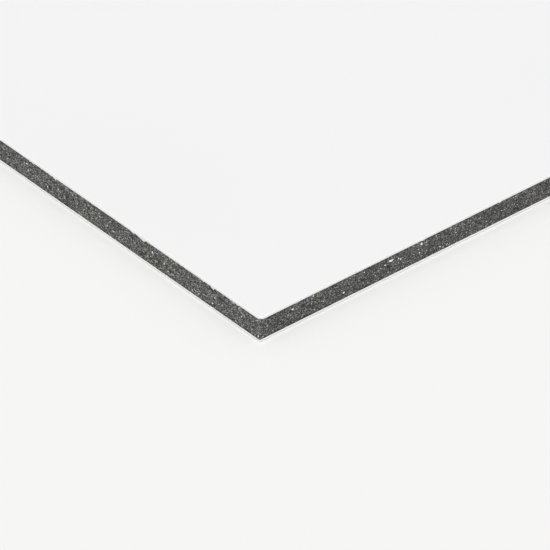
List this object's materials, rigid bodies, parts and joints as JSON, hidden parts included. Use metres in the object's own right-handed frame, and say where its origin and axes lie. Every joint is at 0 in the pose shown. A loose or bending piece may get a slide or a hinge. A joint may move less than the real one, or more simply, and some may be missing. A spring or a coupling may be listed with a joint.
{
  "type": "aluminium composite panel",
  "caption": "Flat rigid sandwich panel: a dark polyethylene core between two white coated aluminium skins, saw-cut square and flush on all edges.",
  "frame": {"origin": "centre of the back face, which lies on the floor", "axes": "+X along the length, +Y along the width, +Z out of the finished white face"},
  "size_m": [0.3, 0.2, 0.003],
  "materials": {
    "front_coating": "satin",
    "back_coating": "matte",
    "core_polyethylene": "matte",
    "cut_aluminium": "satin"
  },
  "bodies": {
    "root": {"back_skin": "back_coating", "core": "core_polyethylene", "front_skin": "front_coating"}
  },
  "joints": []
}
